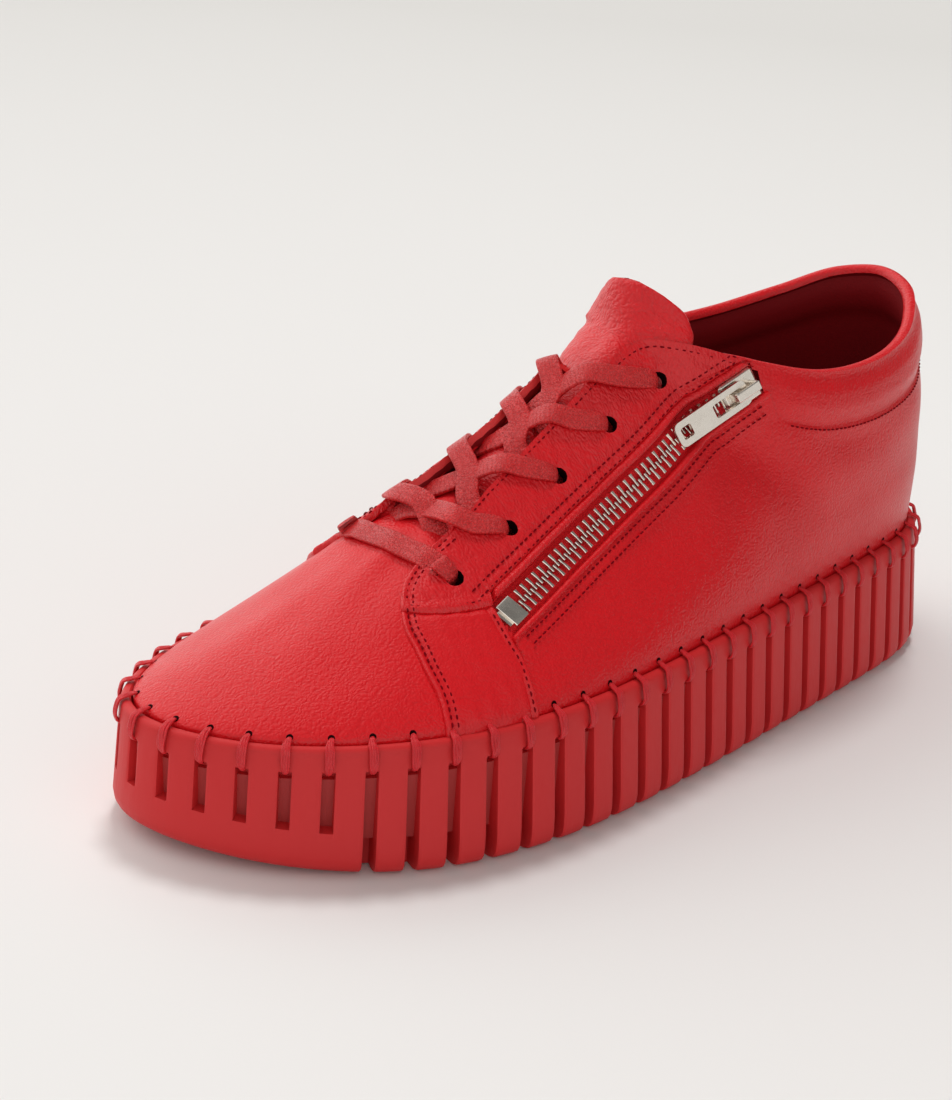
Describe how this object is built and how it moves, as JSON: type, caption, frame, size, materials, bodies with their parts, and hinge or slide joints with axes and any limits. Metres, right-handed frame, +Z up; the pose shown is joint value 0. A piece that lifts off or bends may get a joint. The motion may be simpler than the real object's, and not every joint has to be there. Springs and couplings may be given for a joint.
{
  "type": "sneaker",
  "caption": "Low leather sneaker for a left foot, with crossed flat laces, an outer side zip and a deep ribbed rubber cup sole stitched on round its rim.",
  "frame": {"origin": "on the floor, under the middle of the shoe's bounding box", "axes": "+Z up, +Y towards the heel, +X towards the wearer's left, which is the outer side with the zip"},
  "size_m": [0.0994, 0.2716, 0.1144],
  "materials": {
    "sole": "matte moulded red rubber",
    "leather": "fine grained red leather with a soft sheen",
    "lining": "matte dark red lining",
    "lace": "flat waxed red lace, fine diamond weave",
    "tape": "red woven zip tape",
    "metal": "polished nickel"
  },
  "bodies": {
    "shoe": {"outsole": "sole", "insole": "lining", "upper": "leather", "tongue": "leather", "lace_bar": "lace", "lace_cross_1": "lace", "lace_cross_2": "lace", "lace_cross_3": "lace", "lace_cross_4": "lace", "zip_tape": "tape", "zip_chain": "metal", "zip_stop": "metal", "zip_slider": "metal"},
    "pull_tab": {"pull_tab": "metal"}
  },
  "joints": [
    {"name": "pull_tab_hinge", "type": "hinge", "parent": "shoe", "child": "pull_tab", "pos_m": [0.02552, 0.0254, 0.08929], "axis": [-0.363, -0.3616, 0.8587], "range_deg": [0, 150]}
  ]
}
